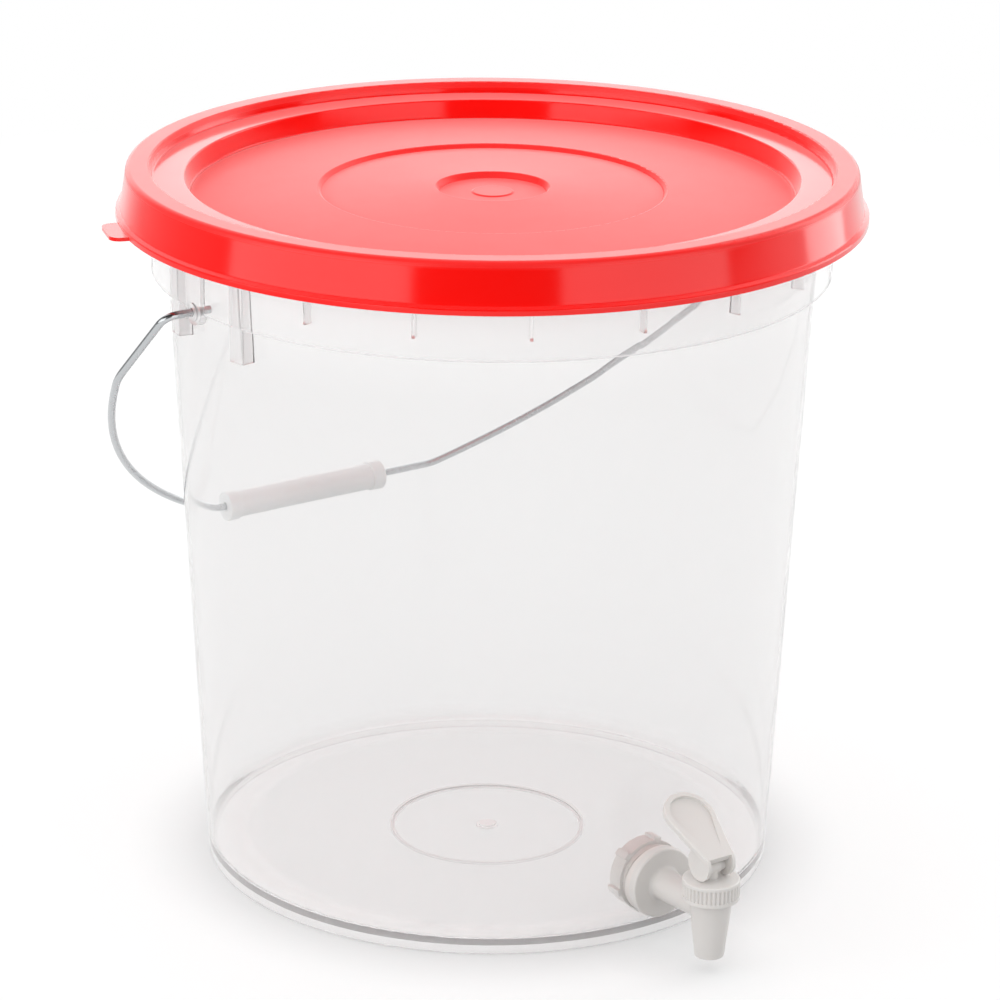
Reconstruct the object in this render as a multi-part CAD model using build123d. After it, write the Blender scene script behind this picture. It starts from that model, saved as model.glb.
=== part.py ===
from build123d import *
import os
from math import acos, atan, cos, radians, sin, sqrt

# Clear bucket with a red press-on lid, a wire bail and a lever tap.
# Millimetres. The origin is the centre of the base and +Z is up.
# The tap points to -Y and the ears are on +X and -X.

# Overall
HEIGHT = 330.0  # floor level to the top of the lid's rim

# Bucket wall and floor
BASE_R = 132.3  # outer radius at the foot
MOUTH_R = 148.9  # outer radius where the wall meets the rim shelf
WALL = 1.8
FLOOR = 2.0
FLOOR_LIFT = 4.0  # height of the foot ring under the floor
FLOOR_FILLET = 4.0
EDGE_ROUND = 0.7  # moulded edges of foot, rim and apron
GATE_RING_R = 45.0  # moulded ring in the floor
GATE_RING_DROP = 0.8
GATE_DOT_R = 4.0
GATE_DOT_H = 0.8

# Collar apron with its gussets
APRON_OUT = 5.3  # its face outside the wall's mouth
APRON_WALL = 1.5
APRON_DROP = 39.7  # below the rim shelf
GUSSET = 1.4
GUSSET_DROP = 30.7  # below the rim shelf
GUSSET_STEP = 18.7  # degrees
GUSSETS_PER_SIDE = 8

# Rim bead that the lid closes over
RIM_WALL = 1.6
RIM_BEAD_WIDTH = 6.3
RIM_LEG_DROP = 14.9  # below the bead's top

# Bail ears
EAR_DROP = 38.3  # ear axis below the rim shelf
EAR_PAD_WIDTH = 12.0
EAR_PAD_PROUD = 2.2  # in front of the apron
EAR_PAD_RISE = 21.6  # above the ear axis
EAR_RING_R = 4.2
EAR_RING_H = 1.0
EAR_CHANNEL_TURN = 9.8  # degrees to each side of the ear
EAR_CHANNEL_WIDTH = 8.5
EAR_CHANNEL_DROP = 55.7  # below the rim shelf

# Lid
LID_WALL = 1.8
LID_GAP = 0.3  # between lid and rim
LID_RIM_SET = 4.8  # inner edge of the rim's flat top, outside the wall's mouth
LID_RIM_WIDTH = 10.9
LID_EDGE_ROUND = 2.4
LID_STEP_ROUND = 0.8  # edges of the steps and the lip
LEDGE_DROP = 5.2
LEDGE_WIDTH = 15.2
PANEL_DROP = 13.9  # at the panel's edge
PANEL_CROWN = 2.2
RING_R = 78.0  # step around the centre disc
RING_DROP = 1.9
DISC_CROWN = 2.2
DIMPLE_R = 25.0
DIMPLE_DROP = 2.7
NUB_R = 9.0
NUB_H = 0.5
STEP_DRAFT = 1.4  # horizontal run of each step
SKIRT_H = 22.0
SKIRT_FLARE = 2.9
LIP_H = 3.6
LIP_PROUD = 2.1
SNAP_BEAD_H = 1.8
TAB_TURN = 18.0  # degrees behind the left ear
TAB_WIDTH = 25.0
TAB_OUT = 7.7
TAB_T = 1.7
TAB_CORNER = 5.0

# Bail and grip
WIRE_R = 1.75
EAR_PLAY = 0.3  # radial, wire in ear
WIRE_TIP_GAP = 0.8  # from the wire's tip to the wall
BAIL_LIP_GAP = 4.9  # axis of the legs' far ends outside the lid's lip
BAIL_DEPTH = 210.0  # ear axis to grip axis
BAIL_LEG = 44.0  # ear axis to the leg's far end
BAIL_FLARE = 4.0  # how far each leg leans out
BAIL_SHOULDER_R = 40.0
BAIL_SHOULDER_TURN = 18.0  # degrees, leg to side arc
EAR_BEND_R = 6.0
GRIP_BEND_R = 14.0
GRIP_LENGTH = 91.0
GRIP_R = 6.5
GRIP_COLLAR_R = 7.25
GRIP_COLLAR_LENGTH = 7.0
GRIP_PLAY = 0.35  # radial, wire in grip
GRIP_SHIFT = -13.0  # slid towards the left ear
GRIP_STOP_GAP = 1.4  # slid grip to the bend
GRIP_WALL_GAP = 0.3  # grip lying against the bucket

# Tap: shank through the wall
TAP_Z = 28.2  # height of the shank's axis
SHANK_R = 9.75
SHANK_HOLE_GAP = 0.4
SHANK_END = 4.0  # past the lock nut
SHANK_LEAD = 0.8  # chamfer at its end
SHANK_BORE_R = 4.2
SEAT_GAP = 0.05  # soft washer to wall, nut and flange
OUTER_GASKET_T = 3.0
INNER_GASKET_T = 2.6
GASKET_R = 16.0
INNER_GASKET_R = 15.0
FLANGE_R = 16.4
FLANGE_T = 3.6
FLANGE_ROUND = 1.0
NUT_R = 16.5
NUT_T = 8.0
NUT_THREAD_GAP = 0.3
NUT_LUGS = 6
NUT_LUG_OUT = 1.4
NUT_LUG_WIDTH = 3.4
NUT_TURN = 16.0  # degrees from level to the first lug
NUT_EDGE = 0.5  # chamfer on the side of the hand

# Tap: tube, barrel and spout
BARREL_OUT = 41.2  # barrel axis from the wall
TUBE_ROOT_R = 7.4
TUBE_END_R = 5.4
TUBE_ROOT_ROUND = 1.5
SPOUT_Z = 7.2  # mouth of the spout
SPOUT_MOUTH_R = 6.6
SPOUT_BORE_R = 4.3
SPOUT_ROUND = 0.5
BARREL_R = 9.7  # under the bonnet and inside it
VALVE_SEAT_Z = 22.4
CHAMBER_R = 6.4

# Tap: bonnet
BONNET_Z = 35.0  # its lower edge
BONNET_R = 12.8
BONNET_TOP_Z = 44.4
BONNET_PLATE = 1.8
BONNET_THREAD_GAP = 0.3
BONNET_ROUND = 0.7
KNURL_TEETH = 40
KNURL_DEPTH = 0.7
KNURL_MARGIN = 1.7

# Tap: stem and stopper
STEM_R = 2.9
STEM_FIT = 0.08  # radial, stem in bonnet
STEM_FOOT_R = 3.6
STEM_FOOT_H = 2.0
STEM_FOOT_LIFT = 1.8  # above the stopper's face
EYE_R = 3.3
EYE_WIDTH = 6.0
CUP_RIM_T = 1.4  # clamped under the bonnet
CUP_PLUG_R = 5.6
CUP_PLUG_H = 5.2
CUP_NECK_R = 4.5
CUP_SLEEVE_GAP = 0.2  # stopper to stem
CUP_EDGE_GAP = 0.6  # clamped rim to the bonnet's thread

# Tap: lever
PIN_R = 1.5
PIN_FIT = 0.05  # radial, pin in the stem's eye
PIN_SEAT = 0.02  # radial, pin in the lever
PIN_END = 0.3  # chamfer
PIN_COVER = 0.5  # cheek outside the pin's ends
PIN_END_GAP = 0.1
PIN_RISE = 5.0  # pin above the lever's foot
CAM_OFFSET = 2.5  # centre of the foot above the pin
FOOT_GAP = 0.3  # foot to bonnet
FORK_GAP = 11.6
CHEEK_T = 1.6
CHEEK_BOSS_R = 2.6
CHEEK_BOSS_GAP = 0.3
WINDOW_H = 11.6  # above the foot
PADDLE_LEAN = 60.0  # degrees back from upright, closed
PADDLE_T = 3.2
PADDLE_LENGTH = 25.8  # window's edge to the centre of the round end
PADDLE_END_R = 12.2
PADDLE_ROUND = 0.8
DISH_DEPTH = 1.9  # at the round end
DISH_RIM = 2.4
DISH_START = 9.0
DISH_START_R = 4.6

# Heights and radii that follow
RIM_TOP_Z = HEIGHT - LID_WALL - LID_GAP
SHELF_Z = HEIGHT - LEDGE_DROP - LID_WALL - LID_GAP
SHELF_UNDER_Z = SHELF_Z - WALL
FLOOR_TOP_Z = FLOOR_LIFT + FLOOR
EAR_Z = SHELF_Z - EAR_DROP
TAPER = (MOUTH_R - BASE_R) / SHELF_Z
APRON_R = MOUTH_R + APRON_OUT
LID_RIM_IN_R = MOUTH_R + LID_RIM_SET
RIM_BEAD_IN_R = LID_RIM_IN_R + LID_WALL + LID_GAP
RIM_BEAD_OUT_R = RIM_BEAD_IN_R + RIM_BEAD_WIDTH
LID_EDGE_R = LID_RIM_IN_R + LID_RIM_WIDTH
SKIRT_R = LID_EDGE_R + SKIRT_FLARE
LIP_R = SKIRT_R + LIP_PROUD
BAIL_REACH = LIP_R + BAIL_LIP_GAP


def wall_r(z):
    """Outer radius of the tapered wall at height z."""
    return BASE_R + TAPER * z


WALL_AT_TAP = wall_r(TAP_Z)
BARREL_Y = -(WALL_AT_TAP + BARREL_OUT)
FLANGE_BACK_Y = -(WALL_AT_TAP + OUTER_GASKET_T)
FLANGE_FRONT_Y = FLANGE_BACK_Y - FLANGE_T
NUT_FACE_Y = -(WALL_AT_TAP - WALL - INNER_GASKET_T)
SHANK_END_Y = NUT_FACE_Y + NUT_T + SHANK_END
BONNET_UNDER_Z = BONNET_TOP_Z - BONNET_PLATE
NECK_TOP_Z = BONNET_UNDER_Z - CUP_RIM_T
FOOT_Z = BONNET_TOP_Z + FOOT_GAP
PIN_Z = FOOT_Z + PIN_RISE
FOOT_R = PIN_RISE + CAM_OFFSET
FORK_WIDTH = FORK_GAP + 2 * CHEEK_T
PIN_SEAT_X = FORK_WIDTH / 2 - PIN_COVER


def section(*points):
    """Face of the half section through the (radius, height) points, in the XZ plane."""
    return Plane.XZ * make_face(Polyline(*points, close=True))


def corners(profile, *points):
    """Corners of a half section at (radius, height) points."""
    return [profile.vertices().sort_by_distance((r, 0, z))[0] for r, z in points]


def turned(*points):
    """Solid of revolution about Z of a closed (radius, height) outline."""
    return revolve(section(*points), Axis.Z)


def inner_face(points, thickness):
    """The line that runs beside a line of points, thickness to its right, with mitred corners."""
    line = [Vector(*point) for point in points]
    steps = [(b - a).normalized() for a, b in zip(line, line[1:])]
    sides = [Vector(step.Y, -step.X) for step in steps]
    beside = [line[0] + sides[0] * thickness]
    for corner, before, after in zip(line[1:], sides, sides[1:]):
        beside.append(corner + (before + after) * (thickness / (1 + before.dot(after))))
    beside.append(line[-1] + sides[-1] * thickness)
    return [(point.X, point.Y) for point in beside]


def along_y(radius, y_from, y_to, z, end_radius=None):
    """Round bar or cone with its axis along Y, at X = 0 and height z."""
    base = Plane(origin=(0, y_from, z), x_dir=(1, 0, 0), z_dir=(0, 1 if y_to > y_from else -1, 0))
    if end_radius is None:
        return extrude(base * Circle(radius), abs(y_to - y_from))
    far = base.offset(abs(y_to - y_from))
    return loft([base * Circle(radius), far * Circle(end_radius)])


def across(shape_on_yz, x_from, x_to):
    """Plate made from a sketch drawn as (Y, Z), between two X planes."""
    return extrude(Plane.YZ.offset(x_from) * shape_on_yz, x_to - x_from)


def wall_cone(offset):
    """Solid cone inside the outer wall surface moved outwards by offset."""
    return Cone(
        wall_r(0) + offset,
        wall_r(SHELF_Z) + offset,
        SHELF_Z,
        align=(Align.CENTER, Align.CENTER, Align.MIN),
    )


def radial_plate(thickness, z_from, z_to):
    """Upright plate on +X that bridges the wall and the apron."""
    apron_mid = APRON_R - APRON_WALL / 2
    wall_mid = WALL / 2
    outline = Polyline(
        (wall_r(z_from) - wall_mid, z_from),
        (apron_mid, z_from),
        (apron_mid, z_to),
        (wall_r(z_to) - wall_mid, z_to),
        close=True,
    )
    return extrude(Plane.XZ * make_face(outline), thickness / 2, both=True)


def bucket_shell():
    """Wall, foot ring, floor, rim shelf, rim bead and apron in one half section."""
    bead_leg_r = RIM_BEAD_OUT_R - RIM_WALL
    bead_wall_r = RIM_BEAD_IN_R + RIM_WALL
    apron_z = SHELF_Z - APRON_DROP
    floor_z = FLOOR_TOP_Z
    profile = section(
        (0, FLOOR_LIFT),
        (wall_r(FLOOR_LIFT) - WALL, FLOOR_LIFT),
        (BASE_R - WALL, 0),
        (BASE_R, 0),
        (wall_r(SHELF_UNDER_Z), SHELF_UNDER_Z),
        (APRON_R - APRON_WALL, SHELF_UNDER_Z),
        (APRON_R - APRON_WALL, apron_z),
        (APRON_R, apron_z),
        (APRON_R, SHELF_UNDER_Z),
        (bead_wall_r, SHELF_UNDER_Z),
        (bead_wall_r, RIM_TOP_Z - RIM_WALL),
        (bead_leg_r, RIM_TOP_Z - RIM_WALL),
        (bead_leg_r, RIM_TOP_Z - RIM_LEG_DROP),
        (RIM_BEAD_OUT_R, RIM_TOP_Z - RIM_LEG_DROP),
        (RIM_BEAD_OUT_R, RIM_TOP_Z),
        (RIM_BEAD_IN_R, RIM_TOP_Z),
        (RIM_BEAD_IN_R, SHELF_Z),
        (MOUTH_R - WALL, SHELF_Z),
        (wall_r(floor_z) - WALL, floor_z),
        (GATE_RING_R, floor_z),
        (GATE_RING_R, floor_z - GATE_RING_DROP),
        (GATE_DOT_R, floor_z - GATE_RING_DROP),
        (GATE_DOT_R, floor_z - GATE_RING_DROP + GATE_DOT_H),
        (0, floor_z - GATE_RING_DROP + GATE_DOT_H),
    )
    rim_edges = [(RIM_BEAD_IN_R, RIM_TOP_Z), (RIM_BEAD_OUT_R, RIM_TOP_Z), (MOUTH_R - WALL, SHELF_Z)]
    profile = fillet(corners(profile, (BASE_R, 0), (APRON_R, apron_z), *rim_edges), EDGE_ROUND)
    floor_corner = corners(profile, (wall_r(floor_z) - WALL, floor_z))
    return revolve(fillet(floor_corner, FLOOR_FILLET), Axis.Z)


def bail_ear():
    """Ear on +X: drilled pad on the apron between two open-bottomed channels."""
    pad_face = APRON_R + EAR_PAD_PROUD
    pad_back = APRON_R - APRON_WALL
    pad = Pos(0, EAR_Z + EAR_PAD_RISE / 2) * Rectangle(EAR_PAD_WIDTH, EAR_PAD_RISE)
    pad += Pos(0, EAR_Z) * Circle(EAR_PAD_WIDTH / 2)
    ear = across(pad, pad_back, pad_face)
    ear += across(Pos(0, EAR_Z) * Circle(EAR_RING_R), pad_face, pad_face + EAR_RING_H)
    z_from = SHELF_Z - EAR_CHANNEL_DROP
    z_to = SHELF_Z - WALL / 2
    side = (EAR_CHANNEL_WIDTH - GUSSET) / 2
    cheek = radial_plate(GUSSET, z_from, z_to)
    height = z_to - z_from
    middle = (z_from + z_to) / 2
    front = Pos(pad_back - GUSSET / 2, 0, middle) * Box(GUSSET, EAR_CHANNEL_WIDTH, height)
    trim = across(Pos(0, middle) * Rectangle(EAR_CHANNEL_WIDTH, height), 0, pad_back)
    channel = front + (Pos(0, side, 0) * cheek + Pos(0, -side, 0) * cheek & trim)
    for turn in (-EAR_CHANNEL_TURN, EAR_CHANNEL_TURN):
        ear += Rot(0, 0, turn) * channel
    return ear


def bucket_body():
    """Clear bucket moulding with the hole drilled for the tap."""
    body = bucket_shell()
    gusset = radial_plate(GUSSET, SHELF_Z - GUSSET_DROP, SHELF_Z - WALL / 2)
    ear = bail_ear()
    first = 90 - GUSSET_STEP * (GUSSETS_PER_SIDE - 1) / 2
    hole = across(Pos(0, EAR_Z) * Circle(WIRE_R + EAR_PLAY), wall_r(EAR_Z) + 1, BAIL_REACH)
    for side in (0, 180):
        ribs = [Rot(0, 0, side + first + GUSSET_STEP * i) * gusset for i in range(GUSSETS_PER_SIDE)]
        body = body + ribs + Rot(0, 0, side) * ear
        body -= Rot(0, 0, side) * hole
    body -= along_y(SHANK_R + SHANK_HOLE_GAP, SHANK_END_Y, FLANGE_BACK_Y, TAP_Z)
    return body


def lid():
    """Red lid: stepped panel, raised rim, flared skirt with lip and snap bead, and a pull tab."""
    half = STEP_DRAFT / 2
    ledge_in_r = LID_RIM_IN_R - LEDGE_WIDTH
    panel_edge = HEIGHT - PANEL_DROP
    panel_mid = panel_edge + PANEL_CROWN
    disc_edge = panel_mid - RING_DROP
    disc_mid = disc_edge + DISC_CROWN
    dimple = disc_mid - DIMPLE_DROP
    skirt_z = HEIGHT - SKIRT_H
    lip_z = skirt_z + LIP_H
    top = [
        (0, dimple + NUB_H),
        (NUB_R, dimple + NUB_H),
        (NUB_R + half, dimple),
        (DIMPLE_R - half, dimple),
        (DIMPLE_R + half, disc_mid),
        (RING_R - half, disc_edge),
        (RING_R + half, panel_mid),
        (ledge_in_r - STEP_DRAFT, panel_edge),
        (ledge_in_r, HEIGHT - LEDGE_DROP),
        (LID_RIM_IN_R - half, HEIGHT - LEDGE_DROP),
        (LID_RIM_IN_R + half, HEIGHT),
        (LID_EDGE_R, HEIGHT),
        (SKIRT_R, lip_z),
        (LIP_R, lip_z - LIP_PROUD / 2),
        (LIP_R, skirt_z),
    ]
    under = inner_face(top, LID_WALL)
    profile = section(*top, *reversed(under))
    rim_edge = (LID_EDGE_R, HEIGHT)
    steps = [point for point in (*top[1:-1], *under[1:-1]) if point != rim_edge]
    profile = fillet(corners(profile, rim_edge), LID_EDGE_ROUND)
    body = revolve(fillet(corners(profile, *steps), LID_STEP_ROUND), Axis.Z)
    bead_z = RIM_TOP_Z - RIM_LEG_DROP - LID_GAP
    bead_r = RIM_BEAD_OUT_R + LID_GAP
    bead_root_r = SKIRT_R - LID_WALL / 2
    body += turned(
        (bead_root_r, bead_z),
        (bead_root_r, bead_z - SNAP_BEAD_H),
        (bead_r, bead_z - SNAP_BEAD_H / 2),
        (bead_r, bead_z),
    )
    tab = Pos(-(LIP_R - LID_WALL + LIP_R + TAB_OUT) / 2, 0) * Rectangle(TAB_OUT + LID_WALL, TAB_WIDTH)
    tips = [v for v in tab.vertices() if v.X < -LIP_R]
    plate = extrude(fillet(tips, TAB_CORNER), TAB_T)
    return body + Rot(0, 0, -TAB_TURN) * Pos(0, 0, skirt_z) * plate


def bail_plane():
    """Plane of the bail: local X along the ears, local Y from the ear axis to the grip."""
    reach = wall_r(EAR_Z) + (GRIP_R + GRIP_WALL_GAP) * sqrt(1 + TAPER**2)
    hang = atan(TAPER) + acos(reach / (BAIL_DEPTH * sqrt(1 + TAPER**2)))
    return Plane(origin=(0, 0, EAR_Z), x_dir=(1, 0, 0), z_dir=(0, sin(hang), cos(hang)))


def bail_wire():
    """Wire handle: ear tips, flared legs, shoulders, side arcs and the straight run for the grip."""
    tip = wall_r(EAR_Z) + WIRE_TIP_GAP
    bend_x = GRIP_LENGTH / 2 + abs(GRIP_SHIFT) + GRIP_STOP_GAP
    leg_end = (BAIL_REACH, BAIL_LEG)
    leg = FilletPolyline((tip, 0), (BAIL_REACH - BAIL_FLARE, 0), leg_end, radius=EAR_BEND_R)
    shoulder = JernArc(leg_end, (BAIL_FLARE, BAIL_LEG), BAIL_SHOULDER_R, BAIL_SHOULDER_TURN)
    bend = Vector(bend_x, BAIL_DEPTH - GRIP_BEND_R)
    start = shoulder @ 1
    ahead = shoulder % 1
    inward = Vector(-ahead.Y, ahead.X)
    away = start - bend
    arc_r = (GRIP_BEND_R**2 - away.dot(away)) / (2 * (away.dot(inward) + GRIP_BEND_R))
    centre = start + inward * arc_r
    arc_end = centre + (bend - centre).normalized() * arc_r
    half = [
        *leg.edges(),
        shoulder,
        TangentArc(start, arc_end, tangent=ahead),
        TangentArc((bend_x, BAIL_DEPTH), arc_end, tangent=(1, 0)),
    ]
    run = Line((bend_x, BAIL_DEPTH), (-bend_x, BAIL_DEPTH))
    plane = bail_plane()
    path = plane * Wire([*half, run, *mirror(half, about=Plane.YZ).edges()])
    start = Plane(origin=plane.from_local_coords((tip, 0, 0)), z_dir=(1, 0, 0))
    return sweep(start * Circle(WIRE_R), path=path)


def bail_grip():
    """Moulded hand grip: tube with a thicker collar at each end."""
    bore = WIRE_R + GRIP_PLAY
    half = GRIP_LENGTH / 2
    collar = half - GRIP_COLLAR_LENGTH
    outline = Polyline(
        (-half, bore),
        (-half, GRIP_COLLAR_R),
        (-collar, GRIP_COLLAR_R),
        (-collar, GRIP_R),
        (collar, GRIP_R),
        (collar, GRIP_COLLAR_R),
        (half, GRIP_COLLAR_R),
        (half, bore),
        close=True,
    )
    profile = make_face(outline)
    rounds = [v for v in profile.vertices() if abs(v.Y - GRIP_COLLAR_R) < GRIP_PLAY]
    grip = revolve(fillet(rounds, (GRIP_COLLAR_R - GRIP_R) * 0.9), Axis.X)
    return bail_plane() * Pos(GRIP_SHIFT, BAIL_DEPTH, 0) * grip


def washer(radius, y_from, y_to):
    """Round washer on the shank, between two planes square to it."""
    disc = along_y(radius, y_from, y_to, TAP_Z)
    return disc - along_y(SHANK_R + SHANK_HOLE_GAP, y_from, y_to, TAP_Z)


def outer_gasket():
    """Soft washer between the tap's flange and the curved wall."""
    return washer(GASKET_R, FLANGE_BACK_Y, NUT_FACE_Y) - wall_cone(SEAT_GAP)


def inner_gasket():
    """Soft washer between the curved wall and the lock nut."""
    return washer(INNER_GASKET_R, FLANGE_BACK_Y, NUT_FACE_Y) & wall_cone(-WALL - SEAT_GAP)


def lock_nut():
    """Round nut with finger lugs that clamps the shank from inside the bucket."""
    face = Plane(origin=(0, NUT_FACE_Y, TAP_Z), x_dir=(1, 0, 0), z_dir=(0, 1, 0))
    outline = Circle(NUT_R)
    lug = Pos(NUT_R, 0) * Rectangle(2 * NUT_LUG_OUT, NUT_LUG_WIDTH)
    for i in range(NUT_LUGS):
        outline += Rot(0, 0, 360 * i / NUT_LUGS - NUT_TURN) * lug
    nut = extrude(face * (outline - Circle(SHANK_R + NUT_THREAD_GAP)), NUT_T)
    return chamfer(nut.faces().sort_by(Axis.Y)[-1].outer_wire().edges(), NUT_EDGE)


def tap_body():
    """Tap moulding: shank, flange, tube, and the barrel with its spout and valve seat."""
    flange = along_y(FLANGE_R, FLANGE_BACK_Y, FLANGE_FRONT_Y, TAP_Z)
    body = fillet(flange.edges().sort_by(Axis.Y)[0], FLANGE_ROUND)
    body += along_y(SHANK_R, FLANGE_BACK_Y, SHANK_END_Y, TAP_Z)
    body += along_y(TUBE_ROOT_R, FLANGE_FRONT_Y, BARREL_Y, TAP_Z, TUBE_END_R)
    root = body.edges().sort_by_distance((0, FLANGE_FRONT_Y, TAP_Z + TUBE_ROOT_R))[0]
    body = fillet(root, TUBE_ROOT_ROUND)
    body = chamfer(body.edges().group_by(Axis.Y)[-1], SHANK_LEAD)
    body += Pos(0, BARREL_Y) * turned(
        (0, SPOUT_Z),
        (SPOUT_MOUTH_R, SPOUT_Z),
        (BARREL_R, BONNET_Z),
        (BARREL_R, NECK_TOP_Z),
        (0, NECK_TOP_Z),
    )
    body -= along_y(SHANK_BORE_R, SHANK_END_Y, BARREL_Y, TAP_Z)
    body -= Pos(0, BARREL_Y) * turned(
        (0, SPOUT_Z),
        (SPOUT_BORE_R, SPOUT_Z),
        (SPOUT_BORE_R, VALVE_SEAT_Z),
        (CHAMBER_R, VALVE_SEAT_Z),
        (CHAMBER_R, NECK_TOP_Z),
        (0, NECK_TOP_Z),
    )
    return fillet(body.edges().group_by(Axis.Z)[0], SPOUT_ROUND)


def tap_bonnet():
    """Knurled cap that clamps the stopper on the barrel and guides the stem."""
    bore = BARREL_R + BONNET_THREAD_GAP
    stem_hole = STEM_R + STEM_FIT
    profile = section(
        (stem_hole, BONNET_UNDER_Z),
        (bore, BONNET_UNDER_Z),
        (bore, BONNET_Z),
        (BONNET_R, BONNET_Z),
        (BONNET_R, BONNET_TOP_Z),
        (stem_hole, BONNET_TOP_Z),
    )
    cap = revolve(fillet(corners(profile, (BONNET_R, BONNET_TOP_Z)), BONNET_ROUND), Axis.Z)
    groove = Polyline(
        (BONNET_R - KNURL_DEPTH, 0),
        (BONNET_R + KNURL_DEPTH, KNURL_DEPTH * 2),
        (BONNET_R + KNURL_DEPTH, -KNURL_DEPTH * 2),
        close=True,
    )
    cut = Pos(0, 0, BONNET_Z + KNURL_MARGIN) * extrude(
        make_face(groove), BONNET_TOP_Z - BONNET_Z - 2 * KNURL_MARGIN
    )
    cap -= [Rot(0, 0, 360 * i / KNURL_TEETH) * cut for i in range(KNURL_TEETH)]
    return Pos(0, BARREL_Y) * cap


def seat_cup():
    """Soft stopper: plug on the valve seat, thin neck, and the rim clamped under the bonnet."""
    sleeve = STEM_R + CUP_SLEEVE_GAP
    socket = STEM_FOOT_R + CUP_SLEEVE_GAP
    socket_z = VALVE_SEAT_Z + STEM_FOOT_LIFT - CUP_SLEEVE_GAP
    socket_top = socket_z + STEM_FOOT_H + 2 * CUP_SLEEVE_GAP
    plug_top = VALVE_SEAT_Z + CUP_PLUG_H
    slope = CUP_PLUG_R - CUP_NECK_R
    return Pos(0, BARREL_Y) * turned(
        (0, VALVE_SEAT_Z),
        (CUP_PLUG_R, VALVE_SEAT_Z),
        (CUP_PLUG_R, plug_top),
        (CUP_NECK_R, plug_top + slope),
        (CUP_NECK_R, NECK_TOP_Z - slope),
        (CUP_PLUG_R, NECK_TOP_Z),
        (BARREL_R + BONNET_THREAD_GAP - CUP_EDGE_GAP, NECK_TOP_Z),
        (BARREL_R + BONNET_THREAD_GAP - CUP_EDGE_GAP, BONNET_UNDER_Z),
        (sleeve, BONNET_UNDER_Z),
        (sleeve, socket_top),
        (socket, socket_top),
        (socket, socket_z),
        (0, socket_z),
    )


def valve_stem():
    """Stem with a foot that lifts the stopper and an eye for the lever's pin."""
    foot_z = VALVE_SEAT_Z + STEM_FOOT_LIFT
    stem = turned(
        (0, foot_z),
        (STEM_FOOT_R, foot_z),
        (STEM_FOOT_R, foot_z + STEM_FOOT_H),
        (STEM_R, foot_z + STEM_FOOT_H),
        (STEM_R, PIN_Z),
        (0, PIN_Z),
    )
    stem += across(Pos(0, PIN_Z) * Circle(EYE_R), -EYE_WIDTH / 2, EYE_WIDTH / 2)
    stem -= across(Pos(0, PIN_Z) * Circle(PIN_R + PIN_FIT), -EYE_WIDTH / 2, EYE_WIDTH / 2)
    return Pos(0, BARREL_Y) * stem


def lever_pin():
    """Pivot pin set in the lever's cheeks, through the stem's eye."""
    end = PIN_SEAT_X - PIN_END_GAP
    pin = across(Pos(0, PIN_Z) * Circle(PIN_R), -end, end)
    return Pos(0, BARREL_Y) * chamfer(pin.edges().filter_by(GeomType.CIRCLE), PIN_END)


def paddle_plane():
    """Plane of the thumb paddle's face, from the window's upper edge up the paddle."""
    rise = WINDOW_H - FOOT_R
    lean = radians(PADDLE_LEAN)
    edge = (0, -sqrt(FOOT_R**2 - rise**2), FOOT_Z + WINDOW_H)
    return Plane(origin=edge, x_dir=(1, 0, 0), z_dir=(0, -cos(lean), sin(lean)))


def tap_lever():
    """Flip lever: two round cam cheeks under a dished thumb paddle."""
    face = paddle_plane()
    end = Pos(0, PADDLE_LENGTH) * Circle(PADDLE_END_R)
    foot_line = Line((-FORK_WIDTH / 2, 0), (FORK_WIDTH / 2, 0))
    paddle = extrude(face * make_hull(end.edges() + foot_line.edges()), -PADDLE_T)
    rim = paddle.edges().filter_by(lambda edge: face.to_local_coords(edge.center()).Y > PADDLE_T)
    paddle = fillet(rim.filter_by(lambda edge: edge.length > PADDLE_T + PADDLE_ROUND), PADDLE_ROUND)
    dish_start = Pos(0, DISH_START) * Circle(DISH_START_R)
    dish_end = Pos(0, PADDLE_LENGTH) * Circle(PADDLE_END_R - DISH_RIM)
    dish = extrude(face * make_hull(dish_start.edges() + dish_end.edges()), -DISH_DEPTH)
    side = Plane(origin=face.origin, x_dir=face.y_dir, z_dir=face.x_dir)
    shallow = (DISH_START - DISH_START_R, 0)
    far = PADDLE_LENGTH + PADDLE_END_R
    slope = side * make_face(Polyline(shallow, (far, 0), (far, -DISH_DEPTH), close=True))
    paddle -= dish & extrude(slope, PADDLE_END_R, both=True)
    cam = Pos(0, FOOT_Z + FOOT_R) * Circle(FOOT_R)
    boss = Pos(0, PIN_Z) * Circle(CHEEK_BOSS_R)
    above = extrude(face * Rectangle(4 * FOOT_R, 4 * FOOT_R), FOOT_R)
    inside = EYE_WIDTH / 2 + CHEEK_BOSS_GAP
    lever = paddle
    for side in (1, -1):
        cheek = across(cam, side * FORK_GAP / 2, side * FORK_WIDTH / 2) - above
        lever += cheek + across(boss, side * inside, side * FORK_GAP / 2)
    lever -= across(Pos(0, PIN_Z) * Circle(PIN_R + PIN_SEAT), -PIN_SEAT_X, PIN_SEAT_X)
    return Pos(0, BARREL_Y) * lever


PARTS = {
    "bucket_body": bucket_body(),
    "lid": lid(),
    "bail_wire": bail_wire(),
    "bail_grip": bail_grip(),
    "tap_body": tap_body(),
    "outer_gasket": outer_gasket(),
    "inner_gasket": inner_gasket(),
    "lock_nut": lock_nut(),
    "tap_bonnet": tap_bonnet(),
    "seat_cup": seat_cup(),
    "valve_stem": valve_stem(),
    "lever_pin": lever_pin(),
    "tap_lever": tap_lever(),
}
os.makedirs("parts", exist_ok=True)
for name, shape in PARTS.items():
    export_step(shape, f"parts/{name}.step")
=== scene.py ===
"""Finishes, stage and camera for a clear bucket with a red lid, a wire bail and a lever tap."""

from math import pi, radians

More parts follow.
